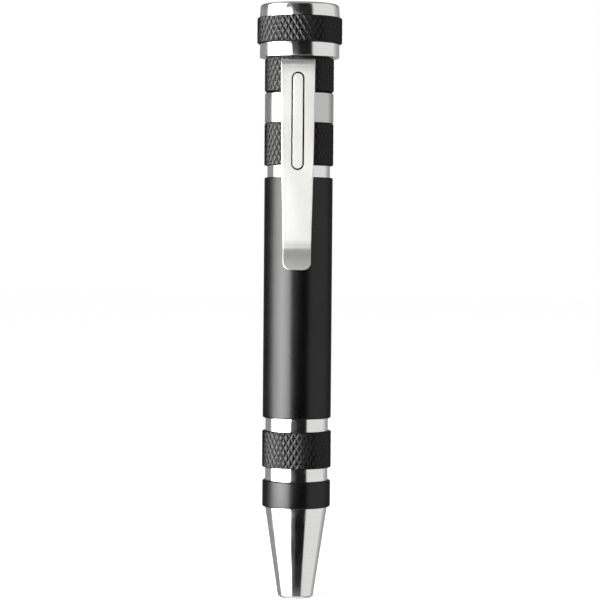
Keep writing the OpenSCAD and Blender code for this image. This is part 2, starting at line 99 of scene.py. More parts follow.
class ScrewdriverSizes(bpy.types.PropertyGroup):
    """Sizes of the finish and of the details that the frame leaves open."""

    lathe_steps: IntProperty(
        name="Lathe steps", description="Flats round a turned piece", default=160, min=48, max=320
    )
    broken_edge: length("Broken edge", "Rounding of a turned edge that looks sharp", 0.07)
    ring_edge: length("Ring edge", "Chamfer at the ends of the collar and of the bands", 0.2)
    band_edge: length("Band edge", "Chamfer at the lower end of the head's band", 0.1)
    barrel_edge: length("Barrel edge", "Chamfer at the ends of the barrel sleeve", 0.2)
    spacer_edge: length("Spacer edge", "Chamfer at the upper end of the bright ring", 0.45)
    spacer_foot_edge: length("Spacer foot edge", "Chamfer at the lower end of the bright ring", 0.15)
    nose_tip: length("Nose tip", "Diameter of the nose at its tip", 7.05)
    tip_round: length("Nose tip rounding", "Radius of the edge round the nose tip", 0.6)
    cap_round: length("Cap rounding", "Radius of the upper edge of the cap", 0.6)
    cap_taper: length("Cap taper", "How much narrower the cap is at its upper edge", 0.3)
    socket_size: length("Socket size", "Hex socket across its flats", 4.1)
    socket_lead: length("Socket lead", "Widening of the socket at its mouth", 0.3)
    head_recess: length("Head recess", "Diameter of the recess that clears the carrier's flange", 12.8)
    hub_bore: length("Hub bore", "Bore that takes the spigot of the cap", 9.6)
    web: length("Web", "Thickness of the web that turns on the pivot", 2.0)
    pivot_shoulder: length("Pivot shoulder", "Diameter of the shoulder on which the head turns", 3.0)
    pivot_thread: length("Pivot thread", "Diameter of the pivot's thread", 2.2)
    pivot_head: length("Pivot head", "Thickness of the pivot's head", 1.6)
    running_gap: length("Running gap", "Gap between the head and what it turns against", 0.15)
    seat_gap: length("Seat gap", "Gap round a piece that is seated in another", 0.03)
    tongue_gap: length("Tongue gap", "Gap round the clip's tongue in its slot", 0.15)
    shoulder_gap: length("Shoulder gap", "Gap between the knurled ring and the shoulders of the clip", 0.3)
    crease_gap: length("Crease gap", "Gap between the barrel and the crease of the clip", 0.1)
    carrier_gap: length("Carrier gap", "Gap between the bit carrier and the tube", 0.2)
    channel_gap: length("Channel gap", "Gap round a bit in its channel", 0.1)
    knurl_depth: length("Knurl depth", "Depth of the grooves between the diamonds", 0.13)
    knurl_land: length("Knurl land", "How much is turned off the points of the diamonds", 0.07)
    knurl_rub: length("Knurl rub", "How far the rims of the diamonds are rubbed round", 0.03)
    knurl_edge: length("Knurl edge", "Chamfer at the ends of a knurled ring", 0.2)
    diamond_length: length("Diamond length", "Length of one diamond along the handle", 2.05)
    grip_diamonds: IntProperty(
        name="Handle diamonds", description="Diamonds round a handle ring", default=36, min=28, max=48
    )
    head_diamonds: IntProperty(
        name="Head diamonds", description="Diamonds round the head ring", default=43, min=34, max=56
    )
    clip_thickness: length("Clip thickness", "Thickness of the clip's strip", 0.7)
    clip_standoff: length("Clip standoff", "How far the strip stands off the knurled ring at its top", 1.3)
    clip_tongue: length("Clip tongue", "Width of the tongue that enters the handle", 5.0)
    clip_middle: length("Clip middle", "Width of the clip halfway down", 6.4)
    clip_tip: length("Clip tip", "Width of the clip at its crease and tip", 5.6)
    clip_tip_length: length("Clip tip length", "Length of the turned-out tip below the crease", 4.7)
    clip_flare: FloatProperty(
        name="Clip flare", description="Angle of the turned-out tip", unit="ROTATION",
        default=math.radians(16)
    )
    clip_bend: length("Clip bend", "Inner radius of the bend at the top of the clip", 0.5)
    clip_crease: length("Clip crease", "Inner radius of the crease above the tip of the clip", 2.5)
    clip_corner: length("Clip corner", "Radius of the corners at the tip of the clip", 1.5)
    clip_front_edge: length("Clip front edge", "Rounding of the front edges of the clip", 0.1)
    clip_back_edge: length("Clip back edge", "Rounding of the back edges of the clip", 0.1)
    oval_width: length("Oval width", "Width of the raised oval on the clip", 1.93)
    oval_length: length("Oval length", "Length of the raised oval on the clip", 18.9)
    oval_drop: length("Oval drop", "Distance from the top of the clip to the middle of the oval", 12.35)
    oval_rise: length("Oval rise", "Height of the oval above the strip", 0.12)
    oval_line: length("Oval line", "Width of the line pressed round the oval", 0.33)
    oval_line_depth: length("Oval line depth", "Depth of the line pressed round the oval", 0.3)
    bit_size: length("Bit size", "Hex shank of a bit across its flats", 4.0)
    shank_length: length("Shank length", "Length of a bit's hex shank", 17.0)
    bit_taper: length("Bit taper", "Length of the taper between shank and shaft", 1.5)
    bit_point: length("Bit point", "Length of a bit's shaped point", 2.4)
    bit_edge: length("Bit edge", "Chamfer at the ends of a shank", 0.35)
    seal_section: length("Seal section", "Thickness of the sealing ring", 1.2)
    carrier_edge: length("Carrier edge", "Rounding of the edges of the bit carrier", 0.08)


class ScrewdriverColours(bpy.types.PropertyGroup):
    """Colours of the finishes."""

    aluminium: colour("Aluminium", "Clear anodised, turned aluminium", "#F1F1F0")
    black: colour("Black anodising", "Satin black anodised aluminium", "#353535")
    plating: colour("Clip plating", "Satin nickel plating of the spring clip", "#F2F2EE")
    steel: colour("Tool steel", "Satin plated tool steel of the bits", "#A3A5A8")
    magnet: colour("Magnet", "Bright nickel plating of the magnet", "#C9C4BA")
    plastic: colour("Carrier plastic", "Moulded plastic of the bit carrier", "#17181A")
    rubber: colour("Seal rubber", "Moulded rubber of the sealing ring", "#111111")


# Modelling helpers

def deselect():
    """Leaves edit mode and selects nothing, so that the next operator acts on its own piece alone."""
    if bpy.context.object and bpy.context.object.mode != "OBJECT":
        bpy.ops.object.mode_set(mode="OBJECT")
    bpy.ops.object.select_all(action="DESELECT")


def activate(piece):
    """Selects one piece alone and makes it the active one."""
    deselect()
    piece.select_set(True)
    bpy.context.view_layer.objects.active = piece


def edit(piece):
    """Opens a piece in edit mode with all of its mesh selected."""
    activate(piece)
    bpy.ops.object.mode_set(mode="EDIT")
    bpy.ops.mesh.select_all(action="SELECT")


def pick(kind, wanted):
    """Selects the vertices, edges or faces of the piece in edit mode for which wanted(item) is true."""
    bpy.ops.mesh.select_mode(type={"verts": "VERT", "edges": "EDGE", "faces": "FACE"}[kind])
    bpy.ops.mesh.select_all(action="DESELECT")
    mesh = bmesh.from_edit_mesh(bpy.context.object.data)
    for item in getattr(mesh, kind):
        item.select_set(bool(wanted(item)))
    mesh.select_flush_mode()
    bmesh.update_edit_mesh(bpy.context.object.data)


def middle(edge):
    """The middle of an edge."""
    return (edge.verts[0].co + edge.verts[1].co) / 2


def apply_modifier(piece, kind, **settings):
    """Adds a modifier to a piece and applies it."""
    activate(piece)
    modifier = piece.modifiers.new(kind.title(), kind)
    for name, value in settings.items():
        setattr(modifier, name, value)
    bpy.ops.object.modifier_apply(modifier=modifier.name)


def round_edges(piece, width, angle=40, segments=3):
    """Rounds all edges of a piece where its faces turn by more than an angle in degrees."""
    apply_modifier(
        piece, "BEVEL", width=width, segments=segments, limit_method="ANGLE", angle_limit=math.radians(angle)
    )


def combine(piece, other, operation):
    """Joins another solid to a piece, cuts it out or keeps what both hold, and removes that solid."""
    apply_modifier(piece, "BOOLEAN", operation=operation, solver="EXACT", object=other)
    bpy.data.objects.remove(other)


def tidy_mesh(piece):
    """Merges doubled points and turns all faces outwards."""
    edit(piece)
    bpy.ops.mesh.remove_doubles(threshold=SAME)
    bpy.ops.mesh.normals_make_consistent(inside=False)
    deselect()


def single_point(place):
    """A new piece in edit mode that is one selected point, for an outline to be drawn from."""
    deselect()
    bpy.ops.mesh.primitive_plane_add(size=MM)
    bpy.ops.object.mode_set(mode="EDIT")
    bpy.ops.mesh.select_mode(type="VERT")
    bpy.ops.mesh.select_all(action="SELECT")
    bpy.ops.mesh.merge(type="CENTER")
    bpy.ops.transform.translate(value=place)
    return bpy.context.object


def turned(outline, steps):
    """A piece turned about the Z axis, as on a lathe. The outline is its half section, drawn as a chain of
    edges through (radius, height, rounding) points, and each corner with a rounding is rounded by it."""
    points = [Vector((radius, 0, height)) for radius, height, _ in outline]
    piece = single_point(points[0])
    for here, there in zip(points, points[1:]):
        bpy.ops.mesh.extrude_vertices_move(TRANSFORM_OT_translate={"value": there - here})
    bpy.ops.mesh.select_all(action="SELECT")
    bpy.ops.mesh.remove_doubles(threshold=SAME)
    for point, (_, _, rounding) in zip(points, outline):
        if rounding:
            pick("verts", lambda vertex: (vertex.co - point).length < SAME)
            bpy.ops.mesh.bevel(offset=rounding, segments=4, affect="VERTICES")
    bpy.ops.mesh.select_all(action="SELECT")
    bpy.ops.mesh.spin(steps=steps, angle=TURN, center=(0, 0, 0), axis=(0, 0, 1))
    tidy_mesh(piece)
    return piece


def ring_outline(node, bore, foot_edge, edge, broken):
    """Half section of a plain ring with chamfered ends, as wide and as long as its node."""
    low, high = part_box(node)
    radius = high.x
    return [
        (bore, low.z, 0), (radius - foot_edge, low.z, broken), (radius, low.z + foot_edge, broken),
        (radius, high.z - edge, broken), (radius - edge, high.z, broken), (bore, high.z, 0),
        (bore, low.z, 0),
    ]


def finish_piece(piece, name, node, material, flat_angle=30):
    """Names a piece, shades it, gives it its material and hands it to the frame in place of its node."""
    activate(piece)
    bpy.ops.object.transform_apply()
    bpy.ops.object.shade_smooth_by_angle(angle=math.radians(flat_angle))
    piece.name = name
    piece.data.name = name
    piece.data.materials.clear()
    piece.data.materials.append(material)
    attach(piece, BODY_OF[node])
    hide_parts(node)
    piece.select_set(False)


def sizes():
    """The sizes that are set in the sidebar."""
    return bpy.context.scene.screwdriver_sizes


def colours():
    """The colours that are set in the sidebar."""
    return bpy.context.scene.screwdriver_colours


# Materials

def add_node(material, kind, inputs=None, **settings):
    """Adds a shader node with its settings. An input is a value, or the output that feeds it, and is
    numbered where two of a node's inputs share a name."""
    tree = material.node_tree
    node = tree.nodes.new(kind)
    for name, value in settings.items():
        setattr(node, name, value)
    for name, value in (inputs or {}).items():
        if isinstance(value, bpy.types.NodeSocket):
            tree.links.new(value, node.inputs[name])
        else:
            node.inputs[name].default_value = value
    return node


def empty_material(name, base):
    """A material without nodes, to be built up. Its base colour is for the viewport."""
    material = bpy.data.materials.get(name) or bpy.data.materials.new(name)
    material.use_nodes = True
    material.node_tree.nodes.clear()
    material.diffuse_color = (*base, 1)
    return material


def shade(base, share):
    """A colour made darker or lighter by a share."""
    return [min(1, channel * share) for channel in base]


# Nearly all of a noise lies between these values
NOISE_RANGE = {"From Min": 0.3, "From Max": 0.7}


def finish_material(name, base, patterns, roughness, tint=None, relief=(), **inputs):
    """A material whose surface follows noise on the piece's own coordinates, so that no two places are
    alike.

    patterns names each noise and gives the spacing of its grains in millimetres, its stretch along the
    axes, where below 1 draws it out, and its detail. roughness is a pattern's name with the lowest and the
    highest value, tint is one with the darkest and the lightest share of the base colour, and relief lists
    patterns with the depths of their bumps in millimetres, from the lowest layer up."""
    material = empty_material(name, base)
    place = add_node(material, "ShaderNodeTexCoord").outputs["Object"]
    noise = {}
    for pattern, (spacing, stretch, detail) in patterns.items():
        scaled = add_node(material, "ShaderNodeMapping", {"Vector": place, "Scale": stretch})
        noise[pattern] = add_node(material, "ShaderNodeTexNoise", {
            "Vector": scaled.outputs["Vector"], "Scale": 1 / (spacing * MM), "Detail": detail,
            "Roughness": 0.55,
        }).outputs["Fac"]
    pattern, low, high = roughness
    level = add_node(material, "ShaderNodeMapRange", {
        "Value": noise[pattern], "To Min": low, "To Max": high, **NOISE_RANGE
    }).outputs["Result"]
    surface = {"Base Color": (*base, 1), "Metallic": 1.0, "Roughness": level, **inputs}
    if tint:
        pattern, dark, light = tint
        level = add_node(material, "ShaderNodeMapRange", {"Value": noise[pattern], **NOISE_RANGE})
        surface["Base Color"] = add_node(material, "ShaderNodeMix", {
            "Factor": level.outputs["Result"], 6: (*shade(base, dark), 1), 7: (*shade(base, light), 1)
        }, data_type="RGBA").outputs[2]
    for pattern, depth in relief:
        bump = {"Height": noise[pattern], "Distance": depth * MM, "Strength": 1.0}
        if "Normal" in surface:
            bump["Normal"] = surface["Normal"]
        surface["Normal"] = add_node(material, "ShaderNodeBump", bump).outputs["Normal"]
    shader = add_node(material, "ShaderNodeBsdfPrincipled", surface)
    add_node(material, "ShaderNodeOutputMaterial", {"Surface": shader.outputs["BSDF"]})
    return material


def turned_aluminium(matt=False):
    """Clear anodised aluminium as it leaves the lathe: a bright mirror broken by fine lines round the
    axis, left by the tool's feed, and a little unevenness in the polish. The ring between the knurled
    rings is etched longer, so it is matter and greyer."""
    name, low, high, tone = "Turned aluminium, clear anodised", 0.1, 0.18, 1.0
    if matt:
        name, low, high, tone = "Turned aluminium, matt clear anodised", 0.14, 0.22, 0.68
    return finish_material(
        name, shade(colours().aluminium, tone),
        # The feed is about 0.08 mm; it is drawn 0.3 mm wide so that it shows
        patterns={"feed": (0.3, (0.01, 0.01, 1), 3), "polish_and_painted_shade": (2.5, (1, 1, 0.6), 4)},
        roughness=("polish_and_painted_shade", low, high), tint=("feed", 0.94, 1), relief=[("feed", 0.0035)],
    )


def black_anodised(knurled=False):
    """Aluminium under a dyed black oxide layer: satin, with a fine etched grain. The metal still mirrors,
    but the dye takes nearly all the light, at a glancing angle too. The knurled rings are pressed before
    they are anodised, so their facets are coarser and take more dye."""
    name, grain_depth, low, high, tone = "Black anodised aluminium, satin", 0.0022, 0.27, 0.33, 1.0
    if knurled:
        name, grain_depth, low, high, tone = "Black anodised aluminium, knurled", 0.012, 0.22, 0.42, 0.85
    base = shade(colours().black, tone)
    # Bare metal turns white at a glancing angle. The dye takes light there too, though less than face on
    glancing = (*shade(base, 14), 1)
    return finish_material(
        name, base,
        # The etched grain is near 0.02 mm; it is drawn 0.16 mm wide so that it shows
        patterns={
            "grain": (0.16, (1, 1, 1), 3), "cloud": (3, (1, 1, 0.4), 3),
            "feed": (0.35, (0.01, 0.01, 1), 3),
        },
        roughness=("cloud", low, high), tint=("cloud", 0.93, 1.07),
        relief=[("feed", 0.0012), ("grain", grain_depth)], **{"Specular Tint": glancing},
    )


def satin_nickel():
    """Nickel plating over spring steel that was tumbled before it was bent: a soft white satin with a
    faint grain along the strip. Shade is painted into the colour: greyer at the top bend, as painted shade
    under the head's overhang, and round the crease and on the tip, as a painted reflection of the dim room."""
    base = colours().plating
    material = finish_material(
        "Spring steel, satin nickel plated", base,
        patterns={"grain": (0.2, (1, 1, 0.12), 3), "cloud": (4, (1, 1, 0.3), 3)},
        roughness=("cloud", 0.37, 0.43), tint=("grain", 0.96, 1), relief=[("grain", 0.003)],
    )
    low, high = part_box("pocket_clip")
    place = add_node(material, "ShaderNodeTexCoord").outputs["Object"]
    height = add_node(material, "ShaderNodeSeparateXYZ", {"Vector": place}).outputs["Z"]
    share = add_node(material, "ShaderNodeMapRange", {
        "Value": height, "From Min": low.z, "From Max": high.z
    }).outputs["Result"]
    polish_and_painted_shade = add_node(material, "ShaderNodeValToRGB", {"Fac": share})
    # Painted shade: how much of the plain colour shows, from 1 for all of it to 0 for the darkest shade, at
    # shares of the way from the tip up to the bend
    stops = polish_and_painted_shade.color_ramp.elements
    stops[0].color = (1, 1, 1, 1)
    stops[1].color = (0.4, 0.4, 0.4, 1)
    for way_up, level in ((0.02, 0.8), (0.07, 0), (0.12, 0.3), (0.145, 1), (0.925, 1), (0.965, 0.2)):
        stops.new(way_up).color = (level, level, level, 1)
    tint = material.node_tree.nodes["Principled BSDF"].inputs["Base Color"]
    # Mixes the painted shade into the base colour, down to two thirds of it at its darkest
    painted_shade_mix = add_node(material, "ShaderNodeMix", {
        "Factor": polish_and_painted_shade.outputs["Color"], 6: (*shade(base, 0.66), 1), 7: tint.links[0].from_socket
    }, data_type="RGBA")
    material.node_tree.links.new(painted_shade_mix.outputs[2], tint)
    return material


def painted_line_shade():
    """The line pressed round the clip's oval, with painted shade: its steel is coloured near black and
    unevenly, for the shadow and the dark reflection in the narrow line.
    """
    return finish_material(
        # Painted shade: the plating's colour taken down to near black
        "Spring steel, tarnished", shade(colours().plating, 0.015),
        patterns={"shade_mottle": (0.6, (1, 1, 0.4), 4)}, roughness=("shade_mottle", 0.5, 0.65), tint=("shade_mottle", 0.7, 1.6),
    )


def tool_steel():
    """Hardened bit steel, blasted and thinly plated: grey satin with marks of drawing along the shank."""
    return finish_material(
        "Tool steel, satin plated", colours().steel,
        patterns={"drawing": (0.25, (1, 1, 0.05), 3), "blast": (0.12, (1, 1, 1), 2)},
        roughness=("blast", 0.26, 0.38), tint=("drawing", 0.85, 1),
        relief=[("drawing", 0.003), ("blast", 0.002)],
    )


def bright_nickel():
    """Nickel plating over a pressed magnet: bright and slightly warm, with a soft orange-peel face."""
    return finish_material(
        "Magnet, nickel plated", colours().magnet, patterns={"peel": (0.4, (1, 1, 1), 2)},
        roughness=("peel", 0.1, 0.2), relief=[("peel", 0.003)],
    )


def moulded_plastic():
    """Injection-moulded ABS from a spark-eroded mould: near black with a fine, even, satin texture."""
    return finish_material(
        "Moulded ABS, black", colours().plastic,
        patterns={"texture": (0.18, (1, 1, 1), 2), "flow": (6, (1, 1, 0.3), 2)},
        roughness=("flow", 0.4, 0.5), tint=("flow", 0.85, 1.2), relief=[("texture", 0.01)],
        Metallic=0.0, IOR=1.53,
    )


def seal_rubber():
    """Moulded nitrile rubber: dull black that the least dust turns grey."""
    return finish_material(
        "Nitrile rubber", colours().rubber, patterns={"dust": (0.5, (1, 1, 1), 4)},
        roughness=("dust", 0.52, 0.7), tint=("dust", 1, 1.8), relief=[("dust", 0.006)],
        Metallic=0.0, IOR=1.5,
    )


# Pieces

def inner_radius(node):
    """Radius of the bore of a ring-shaped node: its point nearest the axis."""
    return min(math.hypot(v.co.x, v.co.y) for v in frame["nodes"][node].data.vertices)


def bearing(point):
    """Angle of a point round the axis, from the X axis."""
    return math.atan2(point.y, point.x)


def hex_radius(across_flats):
    """Radius over the corners of a hexagon."""
    return across_flats / 2 / math.cos(math.pi / 6)


def hex_prism(across_flats, low, high):
    """Hexagonal bar about the axis, with a corner on the -Y side."""
    deselect()
    bpy.ops.mesh.primitive_cylinder_add(
        vertices=6, radius=hex_radius(across_flats), depth=high - low, location=(0, 0, (low + high) / 2)
    )
    return bpy.context.object


def block(size, place, turn=0.0):
    """Block of a size along X, Y and Z about a place, turned about the vertical."""
    deselect()
    bpy.ops.mesh.primitive_cube_add(size=1, scale=size, location=place, rotation=(0, 0, turn))
    return bpy.context.object


def cone(low_radius, high_radius, low, high):
    """Round bar about the axis whose radius changes from end to end."""
    deselect()
    bpy.ops.mesh.primitive_cone_add(
        vertices=SMALL_STEPS, radius1=low_radius, radius2=high_radius, depth=high - low,
        location=(0, 0, (low + high) / 2)
    )
    return bpy.context.object


def round_bar(radius, low, high):
    """Round bar about the axis."""
    return cone(radius, radius, low, high)


def nose_cone():
    """Turns the tapered nose, sinks its hex socket with a widened mouth, and bores the magnet's seat."""
    own = sizes()
    low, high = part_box("nose_cone")
    magnet_low, magnet_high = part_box("nose_magnet")
    shoulder_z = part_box("front_collar")[0].z
    bore = inner_radius("core_tube")
    nose = turned([
        (0, low.z, 0), (own.nose_tip / 2, low.z, own.tip_round), (high.x, shoulder_z, own.broken_edge),
        (bore, shoulder_z, 0), (bore, high.z, own.ring_edge), (0, high.z, 0),
    ], own.lathe_steps)
    corner = hex_radius(own.socket_size)
    combine(nose, hex_prism(own.socket_size, low.z - MM, magnet_low.z), "DIFFERENCE")
    mouth = cone(corner + own.socket_lead + MM, corner, low.z - MM, low.z + own.socket_lead)
    combine(nose, mouth, "DIFFERENCE")
    seat = round_bar(magnet_high.x + own.seat_gap, magnet_low.z - MM, magnet_high.z)
    combine(nose, seat, "DIFFERENCE")
    finish_piece(nose, "nose", "nose_cone", turned_aluminium())


def nose_magnet():
    """The round magnet that closes the socket and holds the bit."""
    own = sizes()
    low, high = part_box("nose_magnet")
    rim = own.broken_edge * 2
    magnet = turned([(0, low.z, 0), (high.x, low.z, rim), (high.x, high.z, rim), (0, high.z, 0)], TINY_STEPS)
    finish_piece(magnet, "magnet", "nose_magnet", bright_nickel())


class SCREWDRIVER_OT_nose(bpy.types.Operator):
    """Turns the tapered nose with its hex socket, and the magnet behind the socket"""

    bl_idname = "screwdriver.nose"
    bl_label = "Nose and magnet"

    def execute(self, context):
        nose_cone()
        nose_magnet()
        return {"FINISHED"}


class SCREWDRIVER_OT_tube(bpy.types.Operator):
    """Turns the bright core tube and mills the slot for the clip's tongue"""

    bl_idname = "screwdriver.tube"
    bl_label = "Core tube"

    def execute(self, context):
        own = sizes()
        low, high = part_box("core_tube")
        bore = inner_radius("core_tube")
        tube = turned([
            (bore, low.z, 0), (high.x, low.z, 0), (high.x, high.z, own.broken_edge),
            (bore + own.ring_edge, high.z, own.broken_edge), (bore, high.z - own.ring_edge, own.broken_edge),
            (bore, low.z, 0),
        ], own.lathe_steps)
        combine(tube, tongue_slot(), "DIFFERENCE")
        finish_piece(tube, "tube", "core_tube", turned_aluminium())
        return {"FINISHED"}


def tongue_slot():
    """Cutter for the slot that the clip's tongue enters, with rounded ends as a mill leaves them."""
    own = sizes()
    middle_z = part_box("pocket_clip")[1].z - own.clip_thickness / 2
    height = own.clip_thickness + 2 * own.tongue_gap
    inner_y, depth = -MM, 8 * MM
    slot = block((own.clip_tongue + 2 * own.tongue_gap, depth, height), (0, inner_y - depth / 2, middle_z))
    bpy.ops.object.transform_apply()
    edit(slot)
    pick("edges", lambda edge: abs(edge.verts[0].co.y - edge.verts[1].co.y) > depth / 2)
    bpy.ops.mesh.bevel(offset=height * 0.45, segments=5, affect="EDGES")
    deselect()
    return slot


class SCREWDRIVER_OT_smooth_rings(bpy.types.Operator):
    """Turns the black collar and barrel sleeve and the bright ring between the rear knurled rings"""

    bl_idname = "screwdriver.smooth_rings"
    bl_label = "Smooth rings"

    def execute(self, context):
        own = sizes()
        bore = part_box("core_tube")[1].x
        satin = black_anodised()
        bright = turned_aluminium(matt=True)
        for name, node, foot_edge, edge, material in (
            ("collar", "front_collar", own.ring_edge, own.ring_edge, satin),
            ("barrel", "barrel_sleeve", own.barrel_edge, own.barrel_edge, satin),
            ("bright_ring", "spacer_ring", own.spacer_foot_edge, own.spacer_edge, bright),
        ):
            ring = turned(ring_outline(node, bore, foot_edge, edge, own.broken_edge), own.lathe_steps)
            finish_piece(ring, name, node, material)
        return {"FINISHED"}


def diamond_pair(radius, count, height):
    """Two flat-topped diamonds of the knurl on the -Y side, open towards the axis. The first stands at a
    height, and the second half a pitch on, both up the handle and round it."""
    own = sizes()
    root = radius - own.knurl_depth
    half_turn = math.pi / count
    half_width = root * math.sin(half_turn)
    half_length = own.diamond_length / 2
    top_share = own.knurl_land / (own.knurl_land + own.knurl_depth)
    # The corners of a flat top, not its middle, lie at the ring's radius
    top = radius * math.cos(top_share * half_turn)
    deselect()
    bpy.ops.mesh.primitive_cone_add(
        vertices=4, radius1=1, radius2=top_share, depth=top - root, rotation=(math.pi / 2, 0, 0)
    )
    pair = bpy.context.object
    bpy.ops.object.transform_apply()
    edit(pair)
    bpy.ops.transform.resize(value=(half_width, 1, half_length))
    bpy.ops.transform.translate(value=(0, -(top + root) / 2, height))
    # The sides of a diamond's foot lie lower than its ends, because the drum is round
    pick("verts", lambda vertex: abs(vertex.co.x) > half_width * 0.99)
    bpy.ops.transform.translate(value=(0, root * (1 - math.cos(half_turn)), 0))
    pick("faces", lambda face: face.calc_center_median().y > -root - SAME)
    bpy.ops.mesh.delete(type="ONLY_FACE")
    pick("faces", lambda face: face.normal.y < -0.99)
    bpy.ops.mesh.bevel(offset=own.knurl_rub, segments=2, affect="EDGES")
    bpy.ops.mesh.select_all(action="SELECT")
    bpy.ops.mesh.duplicate_move(TRANSFORM_OT_translate={"value": (0, 0, half_length)})
    bpy.ops.transform.rotate(value=half_turn, orient_axis="Z", center_override=(0, 0, 0))
    deselect()
    return pair


def diamond_drum(radius, low, high, count):
    """Closed drum whose wall is all diamonds, from low to high or a little beyond: pairs of diamonds,
    stacked, and the stack copied round the axis."""
    pitch = sizes().diamond_length
    rows = math.ceil((high - low) / pitch) + 1
    drum = diamond_pair(radius, count, (low + high - (rows - 0.5) * pitch) / 2)
    apply_modifier(
        drum, "ARRAY", count=rows, use_relative_offset=False, use_constant_offset=True,
        constant_offset_displace=(0, 0, pitch)
    )
    edit(drum)
    bpy.ops.mesh.spin(
        dupli=True, steps=count - 1, angle=TURN * (count - 1) / count, center=(0, 0, 0), axis=(0, 0, 1)
    )
    bpy.ops.mesh.select_all(action="SELECT")
    bpy.ops.mesh.remove_doubles(threshold=SAME)
    centre_z = (low + high) / 2
    for side in (-1, 1):
        pick("edges", lambda edge: edge.is_boundary and (middle(edge).z - centre_z) * side > 0)
        bpy.ops.mesh.extrude_region_move(TRANSFORM_OT_translate={"value": (0, 0, 0)})
        bpy.ops.mesh.merge(type="CENTER")
    tidy_mesh(drum)
    return drum


class SCREWDRIVER_OT_knurled_rings(bpy.types.Operator):
    """Presses the diamond knurl into the three handle rings and the head ring"""

    bl_idname = "screwdriver.knurled_rings"
    bl_label = "Knurled rings"

    def execute(self, context):
        own = sizes()
        material = black_anodised(knurled=True)
        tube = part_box("core_tube")[1].x
        hub = inner_radius("head_grip")
        for name, node, bore, count in (
            ("front_knurl", "front_grip", tube, own.grip_diamonds),
            ("rear_lower_knurl", "rear_lower_grip", tube, own.grip_diamonds),
            ("rear_upper_knurl", "rear_upper_grip", tube, own.grip_diamonds),
            ("head_knurl", "head_grip", hub, own.head_diamonds),
        ):
            low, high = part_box(node)
            radius = max(high.x, high.y)
            # The blank is a hair wider than the diamonds, so that its own wall touches none of them
            blank = radius + 0.02 * MM
            ring = turned([
                (bore, low.z, 0), (radius - own.knurl_edge, low.z, 0), (blank, low.z + own.knurl_edge, 0),
                (blank, high.z - own.knurl_edge, 0), (radius - own.knurl_edge, high.z, 0),
                (bore, high.z, 0), (bore, low.z, 0),
            ], 4 * count)
            combine(ring, diamond_drum(radius, low.z, high.z, count), "INTERSECT")
            if node == "rear_upper_grip":
                combine(ring, tongue_slot(), "DIFFERENCE")
            finish_piece(ring, name, node, material, flat_angle=12)
        return {"FINISHED"}


def extrude(offset, widen=1.0):
    """Extrudes the selected end of the strip and changes its width."""
    bpy.ops.mesh.extrude_region_move(TRANSFORM_OT_translate={"value": offset})
    bpy.ops.transform.resize(value=(widen, 1, 1))


def slope(angle):
    """The direction down along the clip, where it leans in by an angle."""
    return Vector((0, math.sin(angle), -math.cos(angle)))


def clip_path():
    """The centres of the clip's two bends in Y and Z, the lean of the straight run that touches both, and
    the lengths of that run and of the tip."""
    own = sizes()
    low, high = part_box("pocket_clip")
    thickness = own.clip_thickness
    bend_y = -(knurl_radius() + own.clip_standoff - own.clip_bend)
    bend = Vector((bend_y, high.z - thickness - own.clip_bend))
    crease_y = -(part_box("barrel_sleeve")[1].x + own.crease_gap + thickness + own.clip_crease)
    crease = Vector((crease_y, low.z + own.clip_tip_length))
    reach = own.clip_bend + own.clip_crease + thickness
    span = bend - crease
    lean = math.asin(reach / span.length) - math.atan2(span.x, span.y)
    run = math.sqrt(span.length_squared - reach ** 2)
    tip_down = slope(-own.clip_flare)
    tip_run = (own.clip_tip_length + (own.clip_crease + thickness) * tip_down.y) / -tip_down.z
    return bend, crease, lean, run, tip_run


def knurl_radius():
    """Radius of the wider one of the two knurled rings behind the clip."""
    return max(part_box(node)[1].x for node in ("rear_upper_grip", "rear_lower_grip"))


def clip_strip():
    """The clip's strip, bent from its tongue to its tip, with its edges still sharp."""
    own = sizes()
    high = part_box("pocket_clip")[1]
    bend, crease, lean, run, tip_run = clip_path()
    shoulder_y = -(knurl_radius() + own.shoulder_gap)
    deselect()
    bpy.ops.mesh.primitive_plane_add(size=1, rotation=(math.pi / 2, 0, 0))
    strip = bpy.context.object
    bpy.ops.object.transform_apply(location=False, rotation=True, scale=False)
    edit(strip)
    bpy.ops.transform.resize(value=(own.clip_tongue, 1, own.clip_thickness))
    bpy.ops.transform.translate(value=(0, high.y, high.z - own.clip_thickness / 2))
    extrude((0, shoulder_y - high.y, 0))
    extrude((0, 0, 0), high.x * 2 / own.clip_tongue)
    extrude((0, bend.x - shoulder_y, 0))
    bpy.ops.mesh.spin(steps=10, angle=math.pi / 2 + lean, axis=(-1, 0, 0), center=(0, *bend))
    extrude(slope(lean) * run / 2, own.clip_middle / high.x / 2)
    extrude(slope(lean) * run / 2, own.clip_tip / own.clip_middle)
    bpy.ops.mesh.spin(steps=8, angle=lean + own.clip_flare, axis=(1, 0, 0), center=(0, *crease))
    extrude(slope(-own.clip_flare) * tip_run)
    tidy_mesh(strip)
    return strip


def is_tip_corner(edge):
    """Whether an edge of the strip runs through its thickness at the tip."""
    own = sizes()
    across = edge.verts[0].co - edge.verts[1].co
    at_tip = middle(edge).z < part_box("pocket_clip")[0].z + own.clip_thickness
    return at_tip and abs(across.x) < SAME and abs(across.dot(slope(-own.clip_flare))) < SAME


def is_front_edge(edge):
    """Whether an edge is sharp and lies round the front of the clip, away from the handle."""
    if len(edge.link_faces) != 2 or edge.calc_face_angle() < math.radians(40):
        return False
    # The faces' normals: one looks out from the handle, and the other doesn't look straight back at it
    front, other = sorted(face.normal.y for face in edge.link_faces)
    return front < -0.05 and other < 0.5


